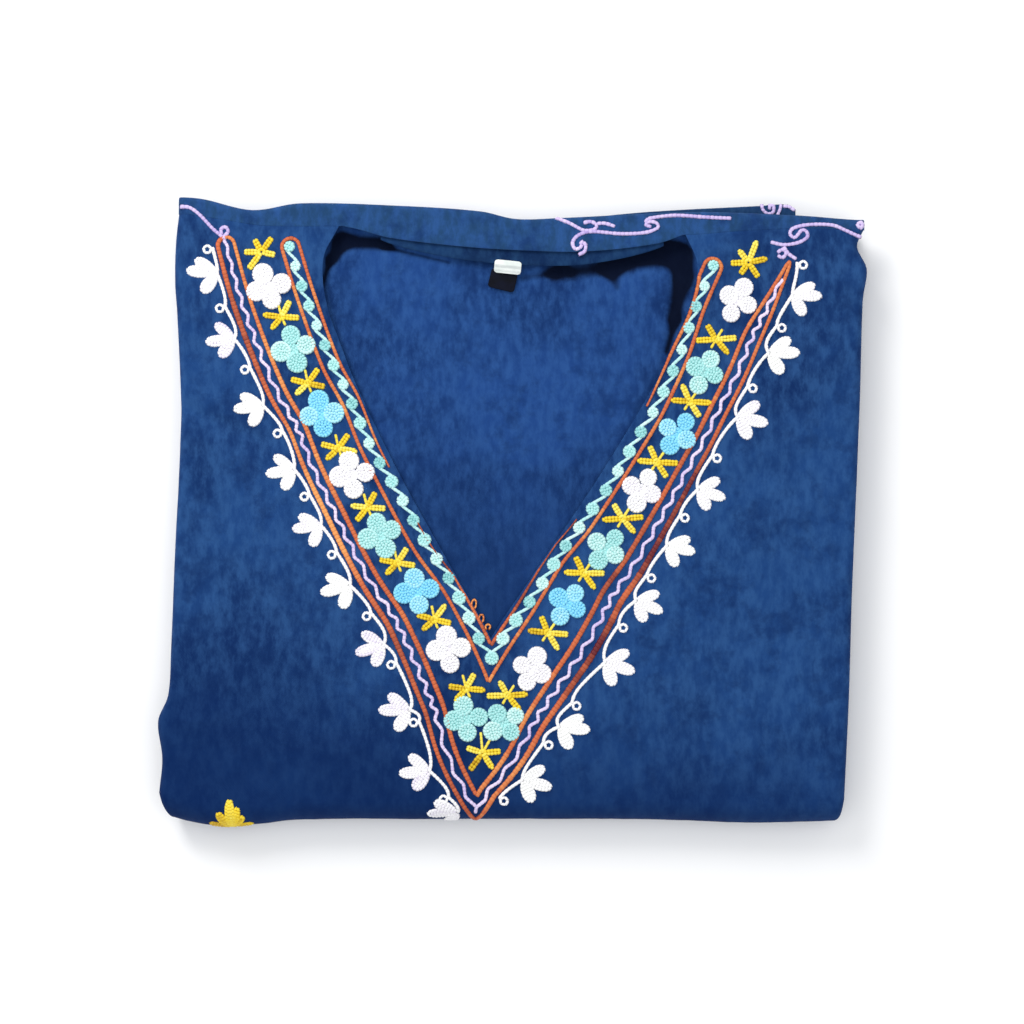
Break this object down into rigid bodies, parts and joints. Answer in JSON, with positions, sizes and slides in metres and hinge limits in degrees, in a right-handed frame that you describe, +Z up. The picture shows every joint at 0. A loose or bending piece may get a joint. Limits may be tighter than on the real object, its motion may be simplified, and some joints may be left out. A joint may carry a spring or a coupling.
{
  "type": "folded kaftan",
  "caption": "Long V-necked kaftan with embroidered neck bands, folded flat into a square parcel that lies neck side up.",
  "frame": {"origin": "under the middle of the folded parcel, on the surface that it lies on", "axes": "+X to the viewer's right across the parcel, +Y from the rounded bottom fold towards the neck, +Z up out of the parcel's face"},
  "size_m": [0.3818, 0.3414, 0.028],
  "materials": {
    "front_cloth": "matt navy cotton",
    "back_cloth": "matt navy cotton",
    "binding_cloth": "matt dark navy cotton",
    "white_tape": "satin tape",
    "black_tape": "satin tape",
    "sleeve_cloth": "matt navy cotton",
    "inner_cloth": "matt navy cotton"
  },
  "bodies": {
    "root": {"front_panel": "front_cloth", "back_panel": "back_cloth", "back_neck_binding": "binding_cloth", "white_label": "white_tape", "black_label": "black_tape", "right_sleeve": "sleeve_cloth", "left_sleeve": "sleeve_cloth", "hidden_layers": "inner_cloth"}
  },
  "joints": []
}
